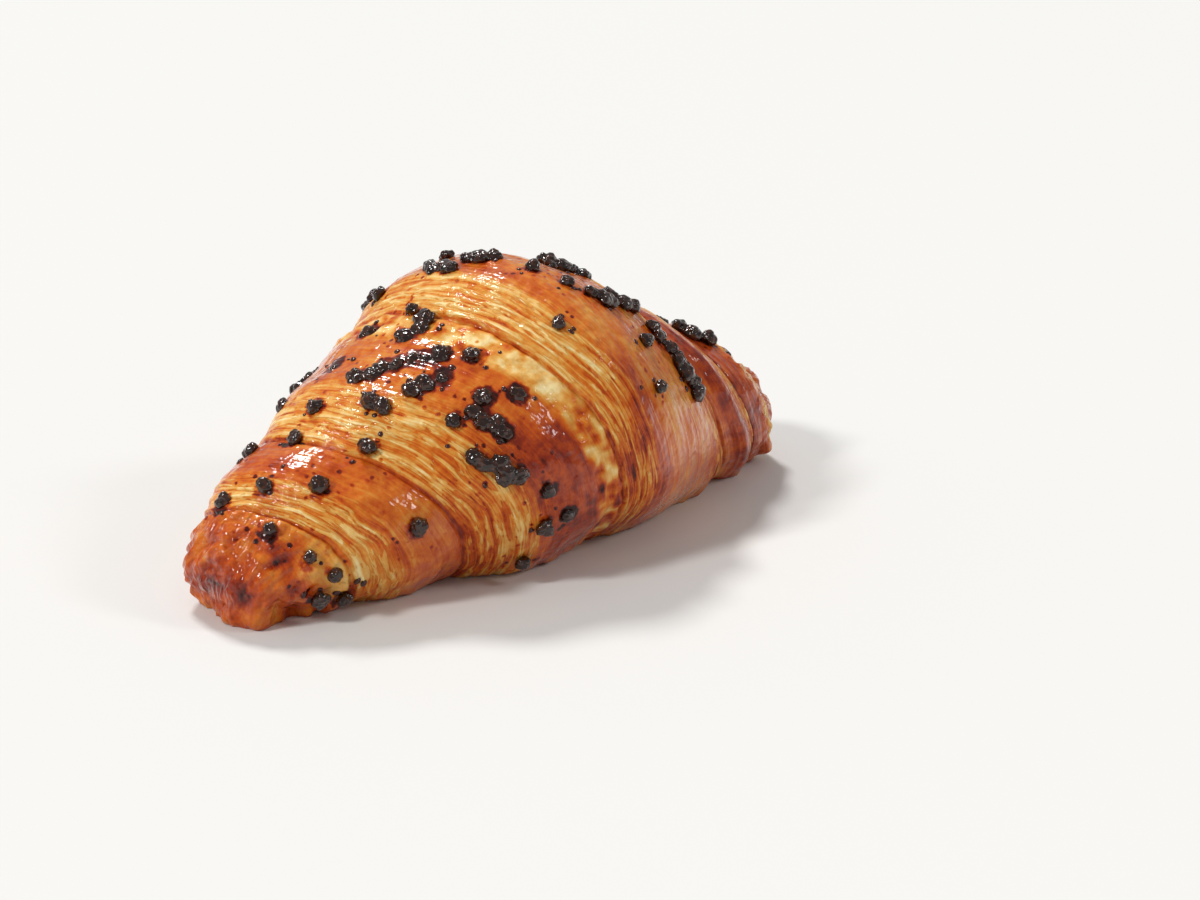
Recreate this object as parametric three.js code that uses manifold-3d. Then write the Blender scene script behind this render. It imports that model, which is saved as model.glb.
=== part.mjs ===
// A chocolate croissant, baked in one piece and lying on its flat base, with chocolate nibs on its crust.
// Millimetres, +Z up, +X along the roll, the base on Z = 0 and the middle of the roll over the origin.
import * as THREE from "three";
import { mergeVertices } from "three/addons/utils/BufferGeometryUtils.js";
import Module from "manifold-3d";

const wasm = await Module();
wasm.setup();

const degree = Math.PI / 180;

// The roll. A place on the crust is a station along the roll and an angle round it: 0 faces +Y, 90 is the
// top and 180 faces -Y. The edge of a wrap is a ring of one station, and such rings lean.
const roll = {
  halfLength: 81,
  roundness: 0.85, // height of the section over its width
  baseCut: 0.8, // depth of the flat base below the roll's axis, as a share of the half height
  lean: 14, // how far a ring reaches along the roll to each side of its station, at the middle
  leanAngle: 67, // where a ring comes nearest to the -X tip
  leanFade: 5, // the power that brings the rings upright towards the tips
  tipPower: 30, // how blunt the tips are
  lumpHeight: 0.45,
};

// Half width of the roll at a distance from its middle, before the tips are rounded off.
const spindleDistances = [0, 20, 40, 60, 75, 81];
const spindleHalfWidths = [40, 35.8, 28, 21.5, 15.4, 13.4];

// The cut edges of the wraps: the crust climbs towards the middle between these two stations.
const wrapEdges = [
  { from: -65, to: -57, climb: 2.0 },
  { from: -44, to: -32, climb: 2.4 },
  { from: -14, to: 3, climb: 2.6 },
  { from: 33, to: 40, climb: -2.6 },
  { from: 50, to: 58, climb: -2.2 },
  { from: 67, to: 71, climb: -1.2 },
];

const mesh = { ringPitch: 4.4, sidesRound: 52 };

// The chocolate. Nibs are squashed balls that sit just clear of the crust.
const nib = {
  radius: 2.15,
  radiusSpread: 0.3,
  squash: 0.72,
  gap: 0.3, // clear of the crust
  liftStep: 0.1,
  meltPitch: 2.2, // distance along the chain between nibs that melted into one lump
  sway: 0.6, // how far they lie to either side of the chain in turn
  sides: 7,
  bands: 4,
};

// Nibs that stand alone, as [station, angle], listed by the wrap that they lie on.
const singleNibs = [
  // the -X tip
  [-71, 130], [-71, 168], [-72, 205], [-69, 187], [-68, 216], [-64, 66], [-60, 97], [-57, 126],
  // the second wrap
  [-52, 175], [-48, 50], [-44, 82], [-42, 122], [-52, 10],
  // the third wrap and the edge below it
  [-36, 80], [-33, 45], [-30, 137], [-33, 216], [-29, 198], [-26, 182], [-23, 197], [-22, 119],
  [-22, 136], [-17, 142], [-23, 65], [-12, 65], [-14, 119], [-6, 80],
  // the middle wrap
  [1, 127], [1, 50], [13, 102], [15, 112], [14, 66], [13, 157], [22, 138], [24, 95],
  // the +X side
  [56, 100], [70, 115], [48, 50], [62, 62],
];

// Nibs that melted together: the middle of the lump, how many, and the way the chain runs, where 0 is
// along the roll and 90 is round it.
const meltedNibs = [
  { station: -32, angle: 163, count: 5, heading: 65 },
  { station: -26, angle: 146, count: 4, heading: 80 },
  { station: -24, angle: 92, count: 4, heading: 30 },
  { station: -18, angle: 106, count: 3, heading: 50 },
  { station: -26, angle: 115, count: 2, heading: 0 },
  { station: -33, angle: 108, count: 2, heading: 70 },
  { station: -11, angle: 90, count: 3, heading: 10 },
  { station: 6, angle: 75, count: 4, heading: 100 },
  { station: 11, angle: 85, count: 3, heading: 60 },
  { station: 30, angle: 93, count: 4, heading: 20 },
  { station: 20, angle: 120, count: 3, heading: 20 },
  { station: 29, angle: 118, count: 3, heading: 30 },
  { station: 31, angle: 134, count: 3, heading: 90 },
  { station: 30, angle: 152, count: 4, heading: 85 },
  { station: 64, angle: 105, count: 3, heading: 60 },
  { station: -24, angle: 36, count: 3, heading: 60 },
  { station: 4, angle: 34, count: 3, heading: 90 },
  { station: 24, angle: 55, count: 4, heading: 70 },
  { station: 42, angle: 78, count: 3, heading: 40 },
  { station: 30, angle: 20, count: 3, heading: 80 },
];

const crustMaterial = new THREE.MeshStandardMaterial({ color: "#c8752f", roughness: 0.45, metalness: 0 });
const chocolateMaterial = new THREE.MeshStandardMaterial({ color: "#2a1712", roughness: 0.35, metalness: 0 });

// A repeatable source of numbers from 0 to 1.
function seededRandom(seed) {
  let state = seed;
  return () => {
    state = (state * 16807) % 2147483647;
    return state / 2147483647;
  };
}
const random = seededRandom(73);

const spindle = new THREE.CubicInterpolant(spindleDistances, spindleHalfWidths, 1);
spindle.settings = { endingStart: THREE.ZeroSlopeEnding, endingEnd: THREE.ZeroCurvatureEnding };

function spindleHalfWidth(along) {
  return spindle.evaluate(Math.min(Math.abs(along), roll.halfLength))[0];
}

function tipRounding(along) {
  const reach = Math.min(Math.abs(along) / roll.halfLength, 1);
  return Math.sqrt(1 - reach ** roll.tipPower);
}

// Height of the roll's axis over the base.
function axisHeight(along) {
  return roll.baseCut * roll.roundness * spindleHalfWidth(along);
}

// How far the wraps stand out of the plain roll, a saw tooth with rounded corners.
function wrapRelief(station) {
  const corners = wrapEdges.flatMap(({ from, to, climb }) => [
    [from, -climb / 2],
    [to, climb / 2],
  ]);
  const knots = [[-roll.halfLength, 0], ...corners, [roll.halfLength, 0]];
  const next = knots.findIndex(([place]) => place >= station);
  if (next < 1) return 0;
  const [start, low] = knots[next - 1];
  const [end, high] = knots[next];
  return THREE.MathUtils.lerp(low, high, THREE.MathUtils.smoothstep(station, start, end));
}

function lumps(station, angle) {
  const slow = Math.sin(station / 9 + 2 * angle) * Math.cos(angle * 2 - station / 23);
  const quick = Math.sin(station / 4.1 - 3 * angle) * Math.sin(station / 7 + 4 * angle + 1);
  return roll.lumpHeight * (slow + 0.6 * quick);
}

function halfWidthAt(along, station, angle) {
  return (spindleHalfWidth(along) + wrapRelief(station) + lumps(station, angle)) * tipRounding(along);
}

// How far the ring of a station leans along +X at an angle.
function leanAt(station, angle) {
  const fade = 1 - Math.abs(station / roll.halfLength) ** roll.leanFade;
  return -roll.lean * fade * Math.cos(angle - roll.leanAngle * degree);
}

function crustPoint(station, angle) {
  const along = station + leanAt(station, angle);
  const halfWidth = halfWidthAt(along, station, angle);
  return new THREE.Vector3(
    along,
    halfWidth * Math.cos(angle),
    axisHeight(along) + roll.roundness * halfWidth * Math.sin(angle),
  );
}

function crustNormal(station, angle) {
  const alongStep = crustPoint(station + 0.5, angle).sub(crustPoint(station - 0.5, angle));
  const roundStep = crustPoint(station, angle + 0.02).sub(crustPoint(station, angle - 0.02));
  return roundStep.cross(alongStep).normalize();
}

// How far a point is outside the crust.
function clearance(point) {
  const rise = (point.z - axisHeight(point.x)) / roll.roundness;
  const angle = Math.atan2(rise, point.y);
  let station = point.x;
  for (let turn = 0; turn < 40; turn++) station = point.x - leanAt(station, angle);
  return Math.hypot(point.y, rise) - halfWidthAt(point.x, station, angle);
}

function solidFrom(geometry) {
  const bare = geometry.clone();
  bare.deleteAttribute("normal");
  bare.deleteAttribute("uv");
  const merged = mergeVertices(bare, 1e-4);
  return new wasm.Manifold(
    new wasm.Mesh({
      numProp: 3,
      vertProperties: new Float32Array(merged.attributes.position.array),
      triVerts: new Uint32Array(merged.index.array),
    }),
  );
}

function geometryFrom(solid) {
  const { vertProperties, triVerts } = solid.getMesh();
  const geometry = new THREE.BufferGeometry();
  geometry.setAttribute("position", new THREE.BufferAttribute(vertProperties, 3));
  geometry.setIndex(new THREE.BufferAttribute(triVerts, 1));
  geometry.computeVertexNormals();
  return geometry;
}

// The baked body: rings along the roll, closed by a point at each tip, cut flat underneath.
function makePastry() {
  const ringCount = Math.round((2 * roll.halfLength) / mesh.ringPitch);
  const positions = [];
  const faces = [];
  for (let ring = 1; ring < ringCount; ring++) {
    // Stations crowd together towards the tips, where the roll curves most.
    const share = Math.sin((ring / ringCount - 0.5) * Math.PI) * 0.3 + (2 * ring / ringCount - 1) * 0.7;
    for (let side = 0; side < mesh.sidesRound; side++) {
      const angle = (side / mesh.sidesRound) * 2 * Math.PI;
      positions.push(...crustPoint(share * roll.halfLength, angle).toArray());
    }
  }
  const rings = ringCount - 1;
  const vertex = (ring, side) => ring * mesh.sidesRound + (side % mesh.sidesRound);
  for (let ring = 0; ring + 1 < rings; ring++)
    for (let side = 0; side < mesh.sidesRound; side++) {
      const [near, nearNext] = [vertex(ring, side), vertex(ring, side + 1)];
      const [far, farNext] = [vertex(ring + 1, side), vertex(ring + 1, side + 1)];
      faces.push(near, nearNext, far, nearNext, farNext, far);
    }
  for (const [end, ring] of [[-1, 0], [1, rings - 1]]) {
    const tip = positions.length / 3;
    positions.push(end * roll.halfLength, 0, axisHeight(roll.halfLength));
    for (let side = 0; side < mesh.sidesRound; side++) {
      const pair = [vertex(ring, side), vertex(ring, side + 1)];
      faces.push(tip, ...(end < 0 ? pair.reverse() : pair));
    }
  }
  const body = new THREE.BufferGeometry();
  body.setAttribute("position", new THREE.Float32BufferAttribute(positions, 3));
  body.setIndex(faces);
  const size = 4 * roll.halfLength;
  const underBase = new THREE.BoxGeometry(size, size, size).translate(0, 0, -size / 2);
  return geometryFrom(solidFrom(body).subtract(solidFrom(underBase)));
}

// One nib as a squashed ball, seated on the crust at a station and an angle.
function seatNib(station, angle) {
  const radius = nib.radius + nib.radiusSpread * (2 * random() - 1);
  const ball = new THREE.SphereGeometry(radius, nib.sides, nib.bands);
  const up = crustNormal(station, angle);
  const turn = new THREE.Quaternion().setFromUnitVectors(new THREE.Vector3(0, 1, 0), up);
  ball.rotateY(random() * Math.PI);
  ball.scale(1, nib.squash, 1);
  ball.applyQuaternion(turn);
  const seat = crustPoint(station, angle).addScaledVector(up, radius * nib.squash);
  ball.translate(seat.x, seat.y, seat.z);
  const corners = ball.attributes.position;
  const lowest = () => {
    let least = Infinity;
    for (let corner = 0; corner < corners.count; corner++)
      least = Math.min(least, clearance(new THREE.Vector3().fromBufferAttribute(corners, corner)));
    return least;
  };
  while (lowest() < nib.gap) ball.translate(...up.clone().multiplyScalar(nib.liftStep).toArray());
  return ball;
}

// Nibs that melted together, as one closed lump.
function meltNibs({ station, angle, count, heading }) {
  const middle = crustPoint(station, angle * degree);
  const axis = new THREE.Vector3(middle.x, 0, axisHeight(middle.x));
  const reach = middle.distanceTo(axis);
  let lump = null;
  for (let place = 0; place < count; place++) {
    const step = (place - (count - 1) / 2) * nib.meltPitch;
    const sway = nib.sway * (place % 2 ? 1 : -1) * (0.6 + 0.5 * random());
    const alongRoll = step * Math.cos(heading * degree) - sway * Math.sin(heading * degree);
    const roundRoll = step * Math.sin(heading * degree) + sway * Math.cos(heading * degree);
    const ball = solidFrom(seatNib(station + alongRoll, angle * degree + roundRoll / reach));
    lump = lump ? lump.add(ball) : ball;
  }
  return geometryFrom(lump);
}

function addMesh(group, name, geometry, material) {
  const piece = new THREE.Mesh(geometry, material);
  piece.name = name;
  group.add(piece);
}

const croissant = new THREE.Group();
addMesh(croissant, "pastry", makePastry(), crustMaterial);
singleNibs.forEach(([station, angle], index) => {
  const name = `chocolate_nib_${String(index + 1).padStart(2, "0")}`;
  addMesh(croissant, name, seatNib(station, angle * degree), chocolateMaterial);
});
meltedNibs.forEach((lump, index) => {
  const name = `melted_nibs_${String(index + 1).padStart(2, "0")}`;
  addMesh(croissant, name, meltNibs(lump), chocolateMaterial);
});

// The group is moved so that its box stands centred on the origin.
const box = new THREE.Box3().setFromObject(croissant);
const centre = box.getCenter(new THREE.Vector3());
croissant.position.set(-centre.x, -centre.y, -box.min.z);

export default croissant;
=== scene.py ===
import math

import bpy
import numpy as np
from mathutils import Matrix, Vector, kdtree, noise
from mathutils.bvhtree import BVHTree


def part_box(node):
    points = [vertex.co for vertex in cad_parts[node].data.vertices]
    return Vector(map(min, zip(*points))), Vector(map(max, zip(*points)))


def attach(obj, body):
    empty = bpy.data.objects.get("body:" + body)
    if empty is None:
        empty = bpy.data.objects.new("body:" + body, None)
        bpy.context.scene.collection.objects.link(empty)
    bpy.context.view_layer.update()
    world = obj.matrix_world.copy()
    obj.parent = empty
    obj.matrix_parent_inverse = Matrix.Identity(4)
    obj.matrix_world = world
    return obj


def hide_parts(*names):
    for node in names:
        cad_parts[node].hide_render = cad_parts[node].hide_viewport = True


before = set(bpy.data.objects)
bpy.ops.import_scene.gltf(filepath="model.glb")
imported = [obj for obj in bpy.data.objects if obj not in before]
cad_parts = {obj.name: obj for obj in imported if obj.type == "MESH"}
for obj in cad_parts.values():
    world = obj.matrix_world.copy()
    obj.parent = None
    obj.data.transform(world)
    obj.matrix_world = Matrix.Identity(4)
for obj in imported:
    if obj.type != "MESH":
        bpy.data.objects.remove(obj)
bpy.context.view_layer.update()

mm = 0.001
bpy.ops.object.select_all(action="DESELECT")

view = {
    "azimuth": -43.3, "elevation": 18.6,
    "aimHeight": 30,  # mm over the base
    "distance": 695,
    "lens": 94,
    "shiftX": 0.085, "shiftY": -0.043,
}


def wayTo(azimuth, elevation):
    # the direction from the object to a camera or a lamp, with 0,0 in front of it
    turn, tilt = math.radians(azimuth), math.radians(elevation)
    return Vector((math.sin(turn) * math.cos(tilt), -math.cos(turn) * math.cos(tilt), math.sin(tilt)))


def addCamera():
    back = wayTo(view["azimuth"], view["elevation"])
    aim = Vector((0, 0, view["aimHeight"] * mm))
    bpy.ops.object.camera_add(location=aim + back * view["distance"] * mm)
    camera = bpy.context.object
    camera.rotation_euler = back.to_track_quat("Z", "Y").to_euler()
    camera.data.lens = view["lens"]
    camera.data.sensor_width = 36
    camera.data.shift_x = view["shiftX"]
    camera.data.shift_y = view["shiftY"]
    camera.data.clip_start = 0.01
    bpy.context.scene.camera = camera
    camera.select_set(False)


addCamera()
print("camera placed")


def linearColour(hexText):
    parts = [int(hexText[i:i + 2], 16) / 255 for i in (1, 3, 5)]
    return tuple(p / 12.92 if p <= 0.04045 else ((p + 0.055) / 1.055) ** 2.4 for p in parts) + (1.0,)


def addNode(tree, kind, inputs=None, stops=None, **settings):
    node = tree.nodes.new(kind)
    for name, value in settings.items():
        setattr(node, name, value)
    for name, value in (inputs or {}).items():
        if isinstance(value, bpy.types.NodeSocket):
            tree.links.new(value, node.inputs[name])
        else:
            node.inputs[name].default_value = value
    if stops:
        ramp = node.color_ramp
        while len(ramp.elements) < len(stops):
            ramp.elements.new(0.5)
        for element, (place, colour) in zip(ramp.elements, stops):
            element.position = place
            element.color = linearColour(colour) if isinstance(colour, str) else (colour,) * 3 + (1.0,)
    return node


def newMaterial(name):
    material = bpy.data.materials.new(name)
    material.use_nodes = True
    material.node_tree.nodes.clear()
    return material, material.node_tree


def smoothStep(low, high, value):
    share = np.clip((value - low) / (high - low), 0, 1)
    return share * share * (3 - 2 * share)


def noiseAt(points, size, shift=0.0):
    # soft noise from about -1 to 1 at points in mm, with lumps of that size in mm
    return np.array([noise.noise(Vector(p)) for p in points / size + shift])


def readVectors(items, field):
    values = np.empty(len(items) * 3)
    items.foreach_get(field, values)
    return values.reshape(-1, 3)


# The rolled dough. A station is a place along it and an angle goes round it, from the back over the top.
roll = {
    "segments": 180, "rings": 540,
    "roundness": 0.85,  # height of the section over its width
    "baseCut": 0.8,  # depth of the base under the axis, as a share of the half height
    "lean": 14, "leanAngle": 67, "leanFade": 5,  # how the rings of the wraps lean
    "tipPower": 30,
    "places": [0, 20, 40, 60, 75, 81],  # mm from the middle
    "halfWidths": [40, 35.8, 28, 21.5, 15.4, 13.4],
    "lumpHeight": 0.45,
    "edgeWander": 1.3, "edgeWanderSize": 19,  # how far a wrap's edge strays, in mm
    "edgeTremor": 0.45, "edgeTremorSize": 6,
    "fold": 0.45, "foldSize": 5,
    "blister": 0.3, "blisterSize": 7,
    "pebble": 0.8, "pebbleSize": 2.8,
    "wrinkle": 0.14, "wrinkleSize": 1.5, "wrinkleLength": 11,
    "swirlPitch": 4.6, "swirlDepth": 0.5,  # the rolled end of the dough
    "knobStarts": 63,
    "ridge": 0.8, "ridgeSize": 2.3, "crease": 0.3, "ridgeSlope": 37,  # the crumpled skin of the tips
    "pleat": 2.3, "pleatSize": 3.2,  # gathers in the dough low on the tips
    "chin": 1.2, "tuck": 1.0,
    "crevice": 0.8,
    "lip": 2.3,  # how much further than its share of the climb a sheet stands out
    "stainReach": 2.3, "splashReach": 9,  # mm from a nib
}

# The cut edges of the wraps, from one station to another in mm. Each shows the sheets of the dough.
cutEdges = [
    {"from": -65.5, "to": -56.5, "climb": 2.2, "sheets": 7},
    {"from": -43.5, "to": -29.5, "climb": 2.6, "sheets": 12},
    {"from": -6.5, "to": 4.0, "climb": 1.9, "sheets": 8},
    {"from": 32, "to": 41, "climb": -2.6, "sheets": 7},
    {"from": 50, "to": 58, "climb": -2.2, "sheets": 6},
    {"from": 67, "to": 72, "climb": -1.2, "sheets": 3},
]
pebbled = {"from": -14.5, "to": -6.5}  # the matt band that no egg wash reached

# How dark each part is baked, from pale dough at 0 to burnt at 1, and what is added low down or by place: the
# low-down shares are painted shade, the crevice share is painted shade in the grooves, and the lighter wraps
# past the middle are painted light.
bakingAndPaintedLight = {
    "glazed": 0.57, "glazedMost": 0.84, "glazedLowShade": 0.05, "middleLowShade": 0.15,
    "farWraps": 0.27, "paintedLightPastMiddle": -0.07,
    "edge": 0.5, "edgeLowShade": 0.2, "nearEdgeLowShade": -0.07, "middleEdge": -0.05, "middleEdgeLowShade": 0.16,
    "matt": 0.37, "mattLowShade": 0.12,
    "base": 0.46, "crevice": 0.16,
    "scorch": 0.22, "sidePatch": -0.3, "farKnob": -0.15,
}


def spindle(along, halfLength):
    places = np.array(roll["places"]) * halfLength / roll["places"][-1]
    widths = np.array(roll["halfWidths"], float)
    slopes = np.gradient(widths, places)
    slopes[0] = 0
    away = np.clip(np.abs(along), 0, halfLength)
    k = np.clip(np.searchsorted(places, away) - 1, 0, len(places) - 2)
    span = places[k + 1] - places[k]
    t = (away - places[k]) / span
    return ((2 * t**3 - 3 * t**2 + 1) * widths[k] + (t**3 - 2 * t**2 + t) * span * slopes[k]
            + (3 * t**2 - 2 * t**3) * widths[k + 1] + (t**3 - t**2) * span * slopes[k + 1])


def rollSurface(station, angle, halfLength, relief):
    fade = 1 - np.abs(station / halfLength) ** roll["leanFade"]
    along = station - roll["lean"] * fade * np.cos(angle - math.radians(roll["leanAngle"]))
    along = np.clip(along, -halfLength, halfLength)
    plain = spindle(along, halfLength)
    slow = np.sin(station / 9 + 2 * angle) * np.cos(angle * 2 - station / 23)
    quick = np.sin(station / 4.1 - 3 * angle) * np.sin(station / 7 + 4 * angle + 1)
    rounding = np.sqrt(1 - np.abs(along / halfLength) ** roll["tipPower"])
    halfWidth = (plain + relief + roll["lumpHeight"] * (slow + 0.6 * quick)) * rounding
    height = roll["baseCut"] * roll["roundness"] * plain + roll["roundness"] * halfWidth * np.sin(angle)
    return np.stack([along, halfWidth * np.cos(angle), height], axis=1)


def wrapRelief(station, halfLength):
    # a saw tooth with soft corners: each wrap lies on the one before it
    corners = [(edge["from"], -edge["climb"] / 2) for edge in cutEdges]
    corners += [(edge["to"], edge["climb"] / 2) for edge in cutEdges]
    corners = [(-halfLength, 0)] + sorted(corners) + [(halfLength, 0)]
    places, heights = np.array(corners, float).T
    k = np.clip(np.searchsorted(places, station) - 1, 0, len(places) - 2)
    t = smoothStep(0, 1, (station - places[k]) / (places[k + 1] - places[k]))
    return heights[k] + (heights[k + 1] - heights[k]) * t


def dressSheets(place, plain):
    # the sheets on the cut edges: how far they stand out, their tone with painted light and shade, and the
    # foot of each edge, whose groove is also darkened as painted shade
    relief, tone, cut, crevice = (np.zeros(len(place)) for _ in range(4))
    slanted = plain * (1, 0.5, 0.5)
    drift = 1.8 * noiseAt(slanted, 13, 5.5) + 0.8 * noiseAt(slanted, 5, 1.5) + 0.3 * noiseAt(slanted, 2, 3.3)
    for edge in cutEdges:
        up = 1 if edge["climb"] > 0 else -1
        start, end = (edge["from"], edge["to"]) if up > 0 else (-edge["to"], -edge["from"])
        t = (place * up - start) / (end - start)
        mask = smoothStep(-0.08, 0.05, t) * (1 - smoothStep(0.7, 1.25, t))
        phase = edge["sheets"] * t + drift
        phase += 0.4 * np.sin(1.7 * phase + edge["from"])
        part = phase % 1
        sheet = np.stack([np.floor(phase) * 3.7 + edge["from"], plain[:, 1] / 13, plain[:, 2] / 13], axis=1)
        strength = np.clip(0.45 + 1.4 * noiseAt(sheet, 1), 0.02, 1)
        step = smoothStep(0.0, 0.35, part) - part
        relief += mask * strength * step * abs(edge["climb"]) / edge["sheets"] * roll["lip"]
        # each sheet is paler at its crest, partly the dough's own layers and partly a painted highlight, and
        # darker at its foot, partly the layers and partly painted shade
        pale = smoothStep(0.05, 0.28, part) * (1 - smoothStep(0.45, 0.95, part))
        footShade = 1 - smoothStep(0, 0.14, part)
        tone += mask * (footShade * 0.13 * strength - pale * 0.24 * strength)
        crevice += np.exp(-((t + 0.03) / 0.05) ** 2)
        cut = np.maximum(cut, mask)
    return relief, tone, cut, np.clip(crevice, 0, 1)


def nibReach(body):
    # how far each spot is from the nearest corner of a nib, in mm
    corners = [node.matrix_world @ corner.co / mm for name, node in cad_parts.items() if name != "pastry"
               for corner in node.data.vertices]
    tree = kdtree.KDTree(len(corners))
    for index, corner in enumerate(corners):
        tree.insert(corner, index)
    tree.balance()
    return np.array([tree.find(Vector(spot))[2] for spot in body])


def addPastry():
    low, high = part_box("pastry")
    halfLength = (high[0] - low[0]) / 2 / mm
    bpy.ops.mesh.primitive_uv_sphere_add(segments=roll["segments"], ring_count=roll["rings"], radius=1)
    pastry = bpy.context.object
    pastry.name = "pastry_crust"
    mesh = pastry.data
    mesh.uv_layers[0].name = "OFBake"
    ball = readVectors(mesh.vertices, "co")

    # the ball's rings become rings along the roll, closer together at the tips
    share = 1 - 2 * np.arccos(np.clip(ball[:, 2], -1, 1)) / math.pi
    station = halfLength * (0.6 * share + 0.4 * np.sin(share * math.pi / 2))
    angle = np.arctan2(ball[:, 1], ball[:, 0])

    plain = rollSurface(station, angle, halfLength, 0)
    place = station + roll["edgeWander"] * noiseAt(plain, roll["edgeWanderSize"], 3.1)
    place += roll["edgeTremor"] * noiseAt(plain, roll["edgeTremorSize"], 8.7)
    sheetRelief, sheetToneAndShade, cut, crevice = dressSheets(place, plain)
    pebble = smoothStep(pebbled["from"] - 1.5, pebbled["from"] + 1.5, place)
    pebble *= 1 - smoothStep(pebbled["to"] - 1, pebbled["to"] + 1.5, place)
    smooth = (1 - cut) * (1 - pebble)
    knob = smoothStep(roll["knobStarts"], roll["knobStarts"] + 5, np.abs(place))

    body = rollSurface(station, angle, halfLength, wrapRelief(place, halfLength))
    mesh.vertices.foreach_set("co", body.ravel())
    mesh.update()
    normals = readVectors(mesh.vertex_normals, "vector")

    # the skin: sheets, wrinkles, blisters and folds
    length = roll["wrinkleLength"]
    streak = np.stack([place / roll["wrinkleSize"], body[:, 1] / length, body[:, 2] / length], axis=1)
    foldPlace = np.stack([place / roll["foldSize"], body[:, 1] / 24, body[:, 2] / 24], axis=1)
    push = sheetRelief - roll["crevice"] * crevice
    push += (0.35 + 0.65 * smooth) * roll["wrinkle"] * noiseAt(streak, 1, 2.2)
    push += smooth * roll["blister"] * noiseAt(body, roll["blisterSize"], 9.3)
    push += roll["fold"] * noiseAt(foldPlace, 1, 6.6)
    push += pebble * roll["pebble"] * noiseAt(body, roll["pebbleSize"], 4.4)

    # the dough's end, rolled up on each tip, and the gathers low on the tips
    tipReach = np.hypot(body[:, 1], body[:, 2] - roll["baseCut"] * roll["roundness"] * roll["halfWidths"][-1])
    atTip = smoothStep(halfLength - 9, halfLength - 3, np.abs(station))
    swirl = (tipReach / roll["swirlPitch"] + angle / (2 * math.pi) * np.sign(station)) % 1
    push -= atTip * roll["swirlDepth"] * np.exp(-((swirl - 0.5) / 0.16) ** 2)
    slope = math.radians(roll["ridgeSlope"])
    across = body[:, 1] * math.cos(slope) + body[:, 2] * math.sin(slope)
    down = body[:, 2] * math.cos(slope) - body[:, 1] * math.sin(slope)
    ridges = np.stack([body[:, 0] * 0.3, across, down * 0.25], axis=1)
    creases = np.stack([body[:, 0] * 0.3, across, down * 0.3], axis=1)
    gathers = np.stack([body[:, 0], body[:, 1], body[:, 2] * 0.2], axis=1)
    crumple = noiseAt(ridges, roll["ridgeSize"], 6.1)
    push += knob * (roll["ridge"] * (0.5 - 2 * np.abs(crumple)) + 0.7 * noiseAt(body, 6, 2.6))
    push += knob * roll["crease"] * noiseAt(creases, 1.1, 4.9)
    lowDown = 1 - smoothStep(3, 9, body[:, 2])
    push += (0.25 + 0.75 * knob) * lowDown * roll["pleat"] * noiseAt(gathers, roll["pleatSize"], 7.2)

    # the near tip hangs forward low down, and the front of the base is tucked under
    push += roll["chin"] * (1 - smoothStep(-80.5, -74, station)) * (1 - smoothStep(10, 20, body[:, 2]))
    front = (np.cos(angle) < 0) * np.exp(-((place + 12) / 32) ** 2)
    push -= roll["tuck"] * front * (1 - smoothStep(4, 16, body[:, 2]))

    body += normals * push[:, None]
    body[:, 2] = np.maximum(body[:, 2], 0)
    mesh.vertices.foreach_set("co", (body * mm).ravel())
    mesh.update()

    # how dark the glazed wraps, the cut edges and the matt band are baked, with their lower sides darkened as
    # painted shade, most on the front
    side = np.degrees(np.abs(np.arctan2(np.sin(angle - math.pi / 2), np.cos(angle - math.pi / 2))))
    # how far down the side a spot is, which darkens it as painted shade
    lowSideShade = smoothStep(15, 115, side)
    inFront = (np.cos(angle) < 0) * (1 - smoothStep(2, 12, place))
    glazedLowShade = bakingAndPaintedLight["glazedLowShade"] + bakingAndPaintedLight["middleLowShade"] * smoothStep(-36, -24, place)
    glazed = bakingAndPaintedLight["glazed"] + glazedLowShade * lowSideShade * inFront
    glazed += bakingAndPaintedLight["farWraps"] * smoothStep(40, 48, place)
    # the wraps past the middle are lightened as painted light
    glazed += bakingAndPaintedLight["paintedLightPastMiddle"] * smoothStep(6, 12, place)
    glazed += 0.12 * noiseAt(body, 17, 0.7) + 0.1 * noiseAt(body, 6, 1.9)
    middle = smoothStep(-20, -6, place)
    edgeLowShade = bakingAndPaintedLight["edgeLowShade"] + bakingAndPaintedLight["nearEdgeLowShade"] * smoothStep(-45, -38, place)
    edgeLowShade += bakingAndPaintedLight["middleEdgeLowShade"] * middle
    edge = bakingAndPaintedLight["edge"] + bakingAndPaintedLight["middleEdge"] * middle + edgeLowShade * lowSideShade
    edge += 0.1 * noiseAt(body, 10, 2.7) + sheetToneAndShade
    # the matt band's lower side is darker too, as painted shade
    matt = bakingAndPaintedLight["matt"] + bakingAndPaintedLight["mattLowShade"] * smoothStep(70, 110, side)
    matt += 0.55 * noiseAt(body, 5, 7.7) + 0.4 * noiseAt(body, 1.9, 5.7)
    bakeAndPaintedLight = np.minimum(glazed, bakingAndPaintedLight["glazedMost"]) * smooth + edge * cut + matt * pebble * (1 - cut)

    # the tips, with painted shade in their creases, the base, painted shade in the crevices at the feet of
    # the edges, and two patches of their own
    bakeAndPaintedLight += knob * (0.02 + 0.35 * np.clip(noiseAt(body, 6, 3.9), 0, 1)) * (place < 0)
    # the tips' creases are darker and their ridges lighter, following the crumpled relief: painted shade and
    # painted light
    bakeAndPaintedLight += knob * 0.06 * np.clip(np.abs(crumple) * 3 - 1, -1, 1)
    nearBase = 1 - smoothStep(1, 6, body[:, 2])
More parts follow.
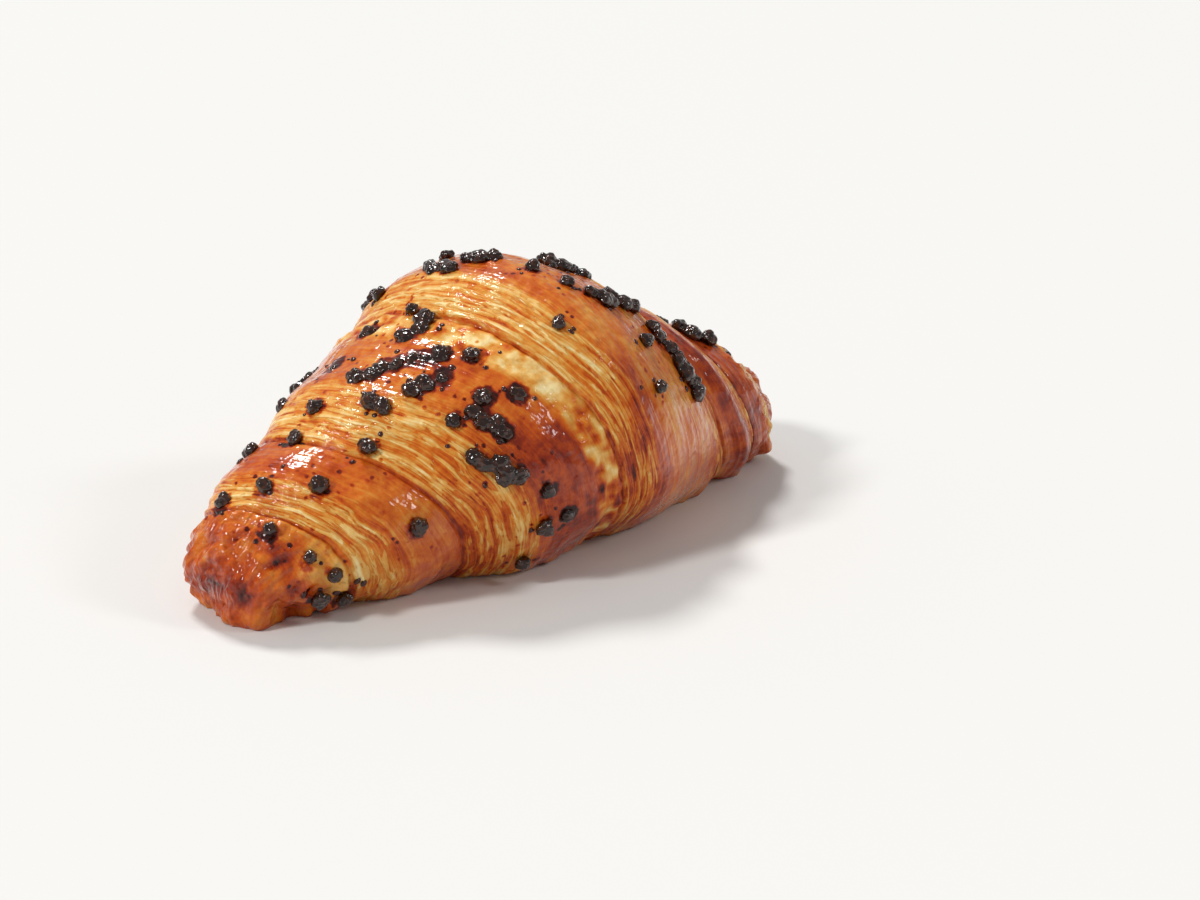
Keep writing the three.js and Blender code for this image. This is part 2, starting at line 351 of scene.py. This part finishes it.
    # the base tone near the floor, and painted shade in the crevices at the feet of the edges
    bakeAndPaintedLight += nearBase * (bakingAndPaintedLight["base"] - bakeAndPaintedLight) * 0.35 * (1 - 0.8 * knob) + bakingAndPaintedLight["crevice"] * crevice
    sidePatch = np.exp(-((place + 66) / 4) ** 2 - ((np.degrees(angle) % 360 - 190) / 26) ** 2)
    scorched = (1 - smoothStep(-80.5, -77, place)) * np.exp(-((body[:, 2] - 9) / 6) ** 2)
    bakeAndPaintedLight += bakingAndPaintedLight["scorch"] * scorched + bakingAndPaintedLight["sidePatch"] * sidePatch
    bakeAndPaintedLight += bakingAndPaintedLight["farKnob"] * knob * (place > 0)

    reach = nibReach(body)
    values = {
        "bakedAmountAndPaintedLight": np.clip(bakeAndPaintedLight, 0, 1),
        "cutEdge": cut,
        "pebbledBand": np.clip(pebble + nearBase * 0.6 + 0.8 * sidePatch, 0, 1),
        "stain": 1 - smoothStep(0.5, roll["stainReach"], reach),
        "nearNibs": 1 - smoothStep(2, roll["splashReach"], reach),
        "layerPlace": place,
        "crumpled": knob,
    }
    for name, value in values.items():
        mesh.attributes.new(name, "FLOAT", "POINT").data.foreach_set("value", value.astype(np.float32))
    for face in mesh.polygons:
        face.use_smooth = True
    return pastry


pastry = addPastry()
print("pastry shaped")


# Baked croissant crust: butter dough browned in the oven and brushed with egg, so the wraps shine like
# varnish over orange brown, while their cut edges stay pale, matt and finely layered.
crustLook = {
    "tones": [(0.0, "#f4dca0"), (0.2, "#e6b566"), (0.36, "#da943e"), (0.50, "#cf6d1e"), (0.64, "#b94a0f"),
              (0.78, "#8e2a0c"), (0.90, "#561407"), (1.0, "#2a0c07")],
    # sizes in mm
    "streakLength": 22,  # along a sheet
    "streakWidth": 0.4,  # across it
    "mottleSize": 2.6,
    "speckSize": 2.4, "speckGroup": 7,
    "dimpleSize": 2.4, "grainSize": 0.7, "creaseSize": 1.3,
    "reliefDepth": 0.4,
}


def eggWashedCrust():
    material, tree = newMaterial("egg_washed_crust")
    look = crustLook
    bakeAndPaintedLight = addNode(tree, "ShaderNodeAttribute", attribute_name="bakedAmountAndPaintedLight")
    cut = addNode(tree, "ShaderNodeAttribute", attribute_name="cutEdge")
    pebble = addNode(tree, "ShaderNodeAttribute", attribute_name="pebbledBand")
    stain = addNode(tree, "ShaderNodeAttribute", attribute_name="stain")
    nearNibs = addNode(tree, "ShaderNodeAttribute", attribute_name="nearNibs")
    place = addNode(tree, "ShaderNodeAttribute", attribute_name="layerPlace")
    knob = addNode(tree, "ShaderNodeAttribute", attribute_name="crumpled")
    spot = addNode(tree, "ShaderNodeTexCoord")
    axes = addNode(tree, "ShaderNodeSeparateXYZ", {0: spot.outputs["Object"]})
    across = addNode(tree, "ShaderNodeMath", {0: place.outputs["Fac"], 1: 1 / look["streakWidth"]},
                     operation="MULTIPLY")
    roundY = addNode(tree, "ShaderNodeMath", {0: axes.outputs["Y"], 1: 1 / (look["streakLength"] * mm)},
                     operation="MULTIPLY")
    roundZ = addNode(tree, "ShaderNodeMath", {0: axes.outputs["Z"], 1: 1 / (look["streakLength"] * mm)},
                     operation="MULTIPLY")
    layered = addNode(tree, "ShaderNodeCombineXYZ",
                      {"X": across.outputs[0], "Y": roundY.outputs[0], "Z": roundZ.outputs[0]})
    streaks = addNode(tree, "ShaderNodeTexNoise",
                      {"Vector": layered.outputs[0], "Scale": 1.0, "Detail": 3.0, "Roughness": 0.55})
    widened = addNode(tree, "ShaderNodeVectorMath", {0: layered.outputs[0], 1: (0.22, 1.2, 1.2)},
                      operation="MULTIPLY")
    broad = addNode(tree, "ShaderNodeTexNoise",
                    {"Vector": widened.outputs[0], "Scale": 1.0, "Detail": 2.0, "Roughness": 0.5,
                     "Distortion": 0.4})
    shortened = addNode(tree, "ShaderNodeVectorMath", {0: layered.outputs[0], 1: (0.4, 3.2, 3.2)},
                        operation="MULTIPLY")
    slivers = addNode(tree, "ShaderNodeTexNoise",
                      {"Vector": shortened.outputs[0], "Scale": 1.0, "Detail": 2.0, "Distortion": 0.5})
    sliverTone = addNode(tree, "ShaderNodeValToRGB", {0: slivers.outputs["Fac"]},
                         stops=[(0.38, 0.59), (0.405, 0.5), (0.535, 0.5), (0.56, 0.28)])
    mottle = addNode(tree, "ShaderNodeTexNoise",
                     {"Vector": spot.outputs["Object"], "Scale": 1 / (look["mottleSize"] * mm), "Detail": 5.0,
                      "Roughness": 0.6})

    # fine and broad streaks along the sheets, strong on the cut edges and faint on the glazed wraps
    fineShift = addNode(tree, "ShaderNodeMapRange",
                        {"Value": streaks.outputs["Fac"], "From Min": 0.3, "From Max": 0.7,
                         "To Min": -0.18, "To Max": 0.13})
    broadShift = addNode(tree, "ShaderNodeMapRange",
                         {"Value": broad.outputs["Fac"], "From Min": 0.3, "From Max": 0.7,
                          "To Min": -0.16, "To Max": 0.11})
    sliverShift = addNode(tree, "ShaderNodeMath", {0: sliverTone.outputs[0], 1: 0.5}, operation="SUBTRACT")
    softShift = addNode(tree, "ShaderNodeMath", {0: fineShift.outputs[0], 1: broadShift.outputs[0]},
                        operation="ADD")
    streakShift = addNode(tree, "ShaderNodeMath", {0: sliverShift.outputs[0], 1: softShift.outputs[0]},
                          operation="ADD")
    streakAmount = addNode(tree, "ShaderNodeMapRange",
                           {"Value": cut.outputs["Fac"], "To Min": 0.17, "To Max": 0.85})
    streaked = addNode(tree, "ShaderNodeMath",
                       {0: streakShift.outputs[0], 1: streakAmount.outputs[0], 2: bakeAndPaintedLight.outputs["Fac"]},
                       operation="MULTIPLY_ADD")
    mottleShift = addNode(tree, "ShaderNodeMapRange",
                          {"Value": mottle.outputs["Fac"], "From Min": 0.3, "From Max": 0.7,
                           "To Min": -0.1, "To Max": 0.1})
    mottled = addNode(tree, "ShaderNodeMath", {0: streaked.outputs[0], 1: mottleShift.outputs[0]},
                      operation="ADD")

    # splashes of chocolate near the nibs, and the stain round each nib with a ragged rim
    specks = addNode(tree, "ShaderNodeTexVoronoi",
                     {"Vector": spot.outputs["Object"], "Scale": 1 / (look["speckSize"] * mm)})
    speckShape = addNode(tree, "ShaderNodeMath",
                         {0: mottle.outputs["Fac"], 1: -0.5, 2: specks.outputs["Distance"]},
                         operation="MULTIPLY_ADD")
    speckSpot = addNode(tree, "ShaderNodeMapRange",
                        {"Value": speckShape.outputs[0], "From Min": -0.1, "From Max": 0.02,
                         "To Min": 1.0, "To Max": 0.0})
    speckGroups = addNode(tree, "ShaderNodeTexNoise",
                          {"Vector": spot.outputs["Object"], "Scale": 1 / (look["speckGroup"] * mm),
                           "Detail": 2.0})
    speckMask = addNode(tree, "ShaderNodeMapRange",
                        {"Value": speckGroups.outputs["Fac"], "From Min": 0.42, "From Max": 0.55,
                         "To Min": 0.0, "To Max": 0.42})
    speckGate = addNode(tree, "ShaderNodeMath",
                        {0: speckMask.outputs[0], 1: nearNibs.outputs["Fac"]}, operation="MULTIPLY")
    speckled = addNode(tree, "ShaderNodeMath",
                       {0: speckSpot.outputs[0], 1: speckGate.outputs[0], 2: mottled.outputs[0]},
                       operation="MULTIPLY_ADD")
    ragged = addNode(tree, "ShaderNodeMath", {0: mottleShift.outputs[0], 1: 2.5, 2: stain.outputs["Fac"]},
                     operation="MULTIPLY_ADD")
    stainAmount = addNode(tree, "ShaderNodeMapRange",
                          {"Value": ragged.outputs[0], "From Min": 0.35, "From Max": 0.75,
                           "To Min": 0.0, "To Max": 0.34})
    stained = addNode(tree, "ShaderNodeMath", {0: speckled.outputs[0], 1: stainAmount.outputs[0]},
                      operation="ADD")
    colour = addNode(tree, "ShaderNodeValToRGB", {0: stained.outputs[0]}, stops=look["tones"])

    # the egg wash lies full on the wraps and thin on the cut edges and the matt band
    matt = addNode(tree, "ShaderNodeMath", {0: cut.outputs["Fac"], 1: pebble.outputs["Fac"]},
                   operation="MAXIMUM")
    rough = addNode(tree, "ShaderNodeMapRange", {"Value": matt.outputs[0], "To Min": 0.3, "To Max": 0.45})
    wash = addNode(tree, "ShaderNodeMapRange", {"Value": matt.outputs[0], "To Min": 1.0, "To Max": 0.5})

    # the skin's relief: soft dimples and long wrinkles, a fine grain on the matt parts, flakes on the cut
    # edges, and creases on the tips
    dimples = addNode(tree, "ShaderNodeTexNoise",
                      {"Vector": spot.outputs["Object"], "Scale": 1 / (look["dimpleSize"] * mm),
                       "Detail": 1.0})
    wrinkles = addNode(tree, "ShaderNodeTexNoise",
                       {"Vector": layered.outputs[0], "Scale": 0.5, "Detail": 1.0})
    grain = addNode(tree, "ShaderNodeTexNoise",
                    {"Vector": spot.outputs["Object"], "Scale": 1 / (look["grainSize"] * mm), "Detail": 1.0})
    grainAmount = addNode(tree, "ShaderNodeMapRange",
                          {"Value": matt.outputs[0], "To Min": 0.0, "To Max": 0.3})
    relief = addNode(tree, "ShaderNodeMath",
                     {0: wrinkles.outputs["Fac"], 1: 0.4, 2: dimples.outputs["Fac"]},
                     operation="MULTIPLY_ADD")
    grainyRelief = addNode(tree, "ShaderNodeMath",
                           {0: grain.outputs["Fac"], 1: grainAmount.outputs[0], 2: relief.outputs[0]},
                           operation="MULTIPLY_ADD")
    flaking = addNode(tree, "ShaderNodeMath", {0: cut.outputs["Fac"], 1: -1.3}, operation="MULTIPLY")
    flakyRelief = addNode(tree, "ShaderNodeMath",
                          {0: sliverTone.outputs[0], 1: flaking.outputs[0], 2: grainyRelief.outputs[0]},
                          operation="MULTIPLY_ADD")
    drawnOut = addNode(tree, "ShaderNodeMapping",
                       {"Vector": spot.outputs["Object"], "Scale": (0.3, 1, 0.5)})
    creases = addNode(tree, "ShaderNodeTexNoise",
                      {"Vector": drawnOut.outputs[0], "Scale": 1 / (look["creaseSize"] * mm), "Detail": 1.0})
    creaseAmount = addNode(tree, "ShaderNodeMath", {0: knob.outputs["Fac"], 1: 2.2}, operation="MULTIPLY")
    creasedRelief = addNode(tree, "ShaderNodeMath",
                            {0: creases.outputs["Fac"], 1: creaseAmount.outputs[0],
                             2: flakyRelief.outputs[0]},
                            operation="MULTIPLY_ADD")
    bump = addNode(tree, "ShaderNodeBump",
                   {"Height": creasedRelief.outputs[0], "Strength": 1.0,
                    "Distance": look["reliefDepth"] * mm})
    shader = addNode(tree, "ShaderNodeBsdfPrincipled",
                     {"Base Color": colour.outputs[0], "Roughness": rough.outputs[0],
                      "Normal": bump.outputs[0], "IOR": 1.45, "Specular IOR Level": 0.06,
                      "Coat Weight": wash.outputs[0], "Coat IOR": 1.38, "Coat Roughness": 0.05,
                      "Coat Normal": bump.outputs[0]})
    addNode(tree, "ShaderNodeOutputMaterial", {"Surface": shader.outputs[0]})
    return material


pastry.data.materials.append(eggWashedCrust())
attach(pastry, "root")
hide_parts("pastry")
print("crust baked")

nibs = {
    "sink": 1.6,  # mm that a nib sits in the crust
    "swell": 1.1, "shrink": 0.93,  # melted lumps spread and single nibs dry out
    "voxel": 0.28,
    "crags": -1.1, "cragSize": 2.6,
    "rough": 0.35, "roughSize": 0.8,
    "grainSize": 1.1, "blisterSize": 0.9, "blisterDepth": 0.3,
}


# Dark baking chocolate: it scorches near black in the oven, half gloss, with a rough, blistered skin.
def bakedChocolate():
    material, tree = newMaterial("baked_dark_chocolate")
    spot = addNode(tree, "ShaderNodeTexCoord")
    grain = addNode(tree, "ShaderNodeTexNoise",
                    {"Vector": spot.outputs["Object"], "Scale": 1 / (nibs["grainSize"] * mm), "Detail": 3.0})
    colour = addNode(tree, "ShaderNodeValToRGB", {0: grain.outputs["Fac"]},
                     stops=[(0.35, "#170903"), (0.52, "#2a1208"), (0.7, "#4d2716")])
    blisters = addNode(tree, "ShaderNodeTexNoise",
                       {"Vector": spot.outputs["Object"], "Scale": 1 / (nibs["blisterSize"] * mm),
                        "Detail": 0.0})
    bump = addNode(tree, "ShaderNodeBump",
                   {"Height": blisters.outputs["Fac"], "Strength": 1.0,
                    "Distance": nibs["blisterDepth"] * mm})
    shader = addNode(tree, "ShaderNodeBsdfPrincipled",
                     {"Base Color": colour.outputs[0], "Roughness": 0.2, "IOR": 1.5,
                      "Normal": bump.outputs[0], "Specular IOR Level": 0.1, "Coat Weight": 1.0,
                      "Coat IOR": 1.5, "Coat Roughness": 0.06, "Coat Normal": bump.outputs[0]})
    addNode(tree, "ShaderNodeOutputMaterial", {"Surface": shader.outputs[0]})
    return material


chocolate = bakedChocolate()
cragTexture = bpy.data.textures.new("crags", "VORONOI")
cragTexture.noise_scale = nibs["cragSize"] * mm
roughTexture = bpy.data.textures.new("roughness", "CLOUDS")
roughTexture.noise_scale = nibs["roughSize"] * mm


def roughen(piece, name, texture, strength):
    modifier = piece.modifiers.new(name, "DISPLACE")
    modifier.texture = texture
    modifier.texture_coords = "LOCAL"
    modifier.strength = strength * mm
    bpy.ops.object.modifier_apply(modifier=modifier.name)


def addNib(node):
    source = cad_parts[node]
    nib = source.copy()
    nib.data = source.data.copy()
    nib.name = node + "_baked"
    bpy.context.collection.objects.link(nib)
    low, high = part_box(node)
    middle = (Vector(low) + Vector(high)) / 2
    inward = (Vector((middle.x * 0.75, 0, 0.02)) - middle).normalized()
    bpy.ops.object.select_all(action="DESELECT")
    nib.select_set(True)
    bpy.context.view_layer.objects.active = nib
    bpy.ops.object.mode_set(mode="EDIT")
    bpy.ops.mesh.select_all(action="SELECT")
    bpy.ops.mesh.remove_doubles(threshold=0.02 * mm)
    size = nibs["swell"] if node.startswith("melted") else nibs["shrink"]
    bpy.ops.transform.resize(value=(size, size, size), center_override=middle)
    bpy.ops.transform.translate(value=inward * nibs["sink"] * mm)
    bpy.ops.object.mode_set(mode="OBJECT")
    remesh = nib.modifiers.new("even skin", "REMESH")
    remesh.mode = "VOXEL"
    remesh.voxel_size = nibs["voxel"] * mm
    bpy.ops.object.modifier_apply(modifier=remesh.name)
    roughen(nib, "crags", cragTexture, nibs["crags"])
    roughen(nib, "rough skin", roughTexture, nibs["rough"])
    bpy.ops.object.shade_smooth()
    nib.data.materials.clear()
    nib.data.materials.append(chocolate)
    nib.select_set(False)
    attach(nib, "root")
    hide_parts(node)


nibNodes = [name for name in sorted(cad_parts) if name != "pastry"]
for node in nibNodes:
    addNib(node)
print("nibs seated")

# Splinters and drips of the same chocolate, thrown round the nibs as they bubbled. Sizes are in mm.
crumbs = {"count": 100, "near": 2.6, "far": 7, "radius": (0.35, 0.8), "squash": 0.55, "rough": 0.3}


# Chocolate boiled into the egg wash: a dark red brown syrup, set hard and glossy.
def soakedChocolate():
    material, tree = newMaterial("boiled_chocolate_syrup")
    shader = addNode(tree, "ShaderNodeBsdfPrincipled",
                     {"Base Color": linearColour("#3a0f0a"), "Roughness": 0.2, "IOR": 1.5})
    addNode(tree, "ShaderNodeOutputMaterial", {"Surface": shader.outputs[0]})
    return material


def addCrumbs():
    random = np.random.default_rng(19)
    skin = BVHTree.FromObject(pastry, bpy.context.evaluated_depsgraph_get())
    pieces = []
    for _ in range(crumbs["count"]):
        low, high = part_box(nibNodes[random.integers(len(nibNodes))])
        start = (Vector(low) + Vector(high)) / 2
        way = Vector(random.normal(size=3)).normalized()
        reach = random.uniform(crumbs["near"], crumbs["far"]) * mm
        spot = skin.find_nearest(start + way * reach)[0]
        if spot.z < 2 * mm:
            continue
        # on an edge of the skin's mesh a crumb takes the facet that faces up most, so each run seats it alike
        touching = skin.find_nearest_range(spot, 0.001 * mm)
        normal = max((hit[1] for hit in touching), key=lambda facing: facing.z)
        radius = random.uniform(*crumbs["radius"]) * mm
        bpy.ops.mesh.primitive_ico_sphere_add(subdivisions=2, radius=radius, location=spot)
        crumb = bpy.context.object
        crumb.scale = (random.uniform(0.8, 1.3), random.uniform(0.8, 1.3), crumbs["squash"])
        crumb.rotation_mode = "QUATERNION"
        crumb.rotation_quaternion = normal.to_track_quat("Z", "Y")
        pieces.append(crumb)
    for crumb in pieces:
        crumb.select_set(True)
    bpy.context.view_layer.objects.active = pieces[0]
    bpy.ops.object.join()
    joined = bpy.context.object
    joined.name = "chocolate_crumbs"
    bpy.ops.object.transform_apply(location=True, rotation=True, scale=True)
    bpy.context.scene.cursor.location = (0, 0, 0)
    bpy.ops.object.origin_set(type="ORIGIN_CURSOR")
    roughen(joined, "rough skin", roughTexture, crumbs["rough"])
    bpy.ops.object.shade_smooth()
    joined.data.materials.append(soakedChocolate())
    joined.select_set(False)
    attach(joined, "root")


addCrumbs()
print("crumbs scattered")

studio = {
    "floorSize": 6,
    "floor": "#dfdedb",
    "sky": "#ffffff", "skyStrength": 0.34, "skySeen": 0.9,
    # suns with a wide disc, as soft as a studio box: where from in degrees, strength and width
    "lamps": [
        {"name": "window", "azimuth": 160, "elevation": 54, "strength": 1.9, "width": 12},
        {"name": "key", "azimuth": -100, "elevation": 40, "strength": 1.7, "width": 10},
        {"name": "fill", "azimuth": 35, "elevation": 36, "strength": 0.5, "width": 12},
    ],
}


# Matt white paper, which gives the bread a soft contact shadow.
def whitePaper():
    material, tree = newMaterial("white_paper")
    shader = addNode(tree, "ShaderNodeBsdfPrincipled",
                     {"Base Color": linearColour(studio["floor"]), "Roughness": 0.8})
    addNode(tree, "ShaderNodeOutputMaterial", {"Surface": shader.outputs[0]})
    return material


def addStudio():
    bpy.ops.mesh.primitive_plane_add(size=studio["floorSize"])
    floor = bpy.context.object
    floor.name = "floor"
    floor.data.materials.append(whitePaper())
    world = bpy.data.worlds.new("sky")
    world.use_nodes = True
    sky = world.node_tree
    sky.nodes.clear()
    seen = addNode(sky, "ShaderNodeLightPath")
    strength = addNode(sky, "ShaderNodeMapRange",
                       {"Value": seen.outputs["Is Camera Ray"], "To Min": studio["skyStrength"],
                        "To Max": studio["skySeen"]})
    background = addNode(sky, "ShaderNodeBackground",
                         {"Color": linearColour(studio["sky"]), "Strength": strength.outputs[0]})
    addNode(sky, "ShaderNodeOutputWorld", {"Surface": background.outputs[0]})
    bpy.context.scene.world = world
    for lamp in studio["lamps"]:
        back = wayTo(lamp["azimuth"], lamp["elevation"])
        bpy.ops.object.light_add(type="SUN", location=back)
        light = bpy.context.object
        light.name = lamp["name"]
        light.data.energy = lamp["strength"]
        light.data.angle = math.radians(lamp["width"])
        light.rotation_euler = back.to_track_quat("Z", "Y").to_euler()
    bpy.context.scene.view_settings.view_transform = "Standard"


addStudio()
print("studio lit")
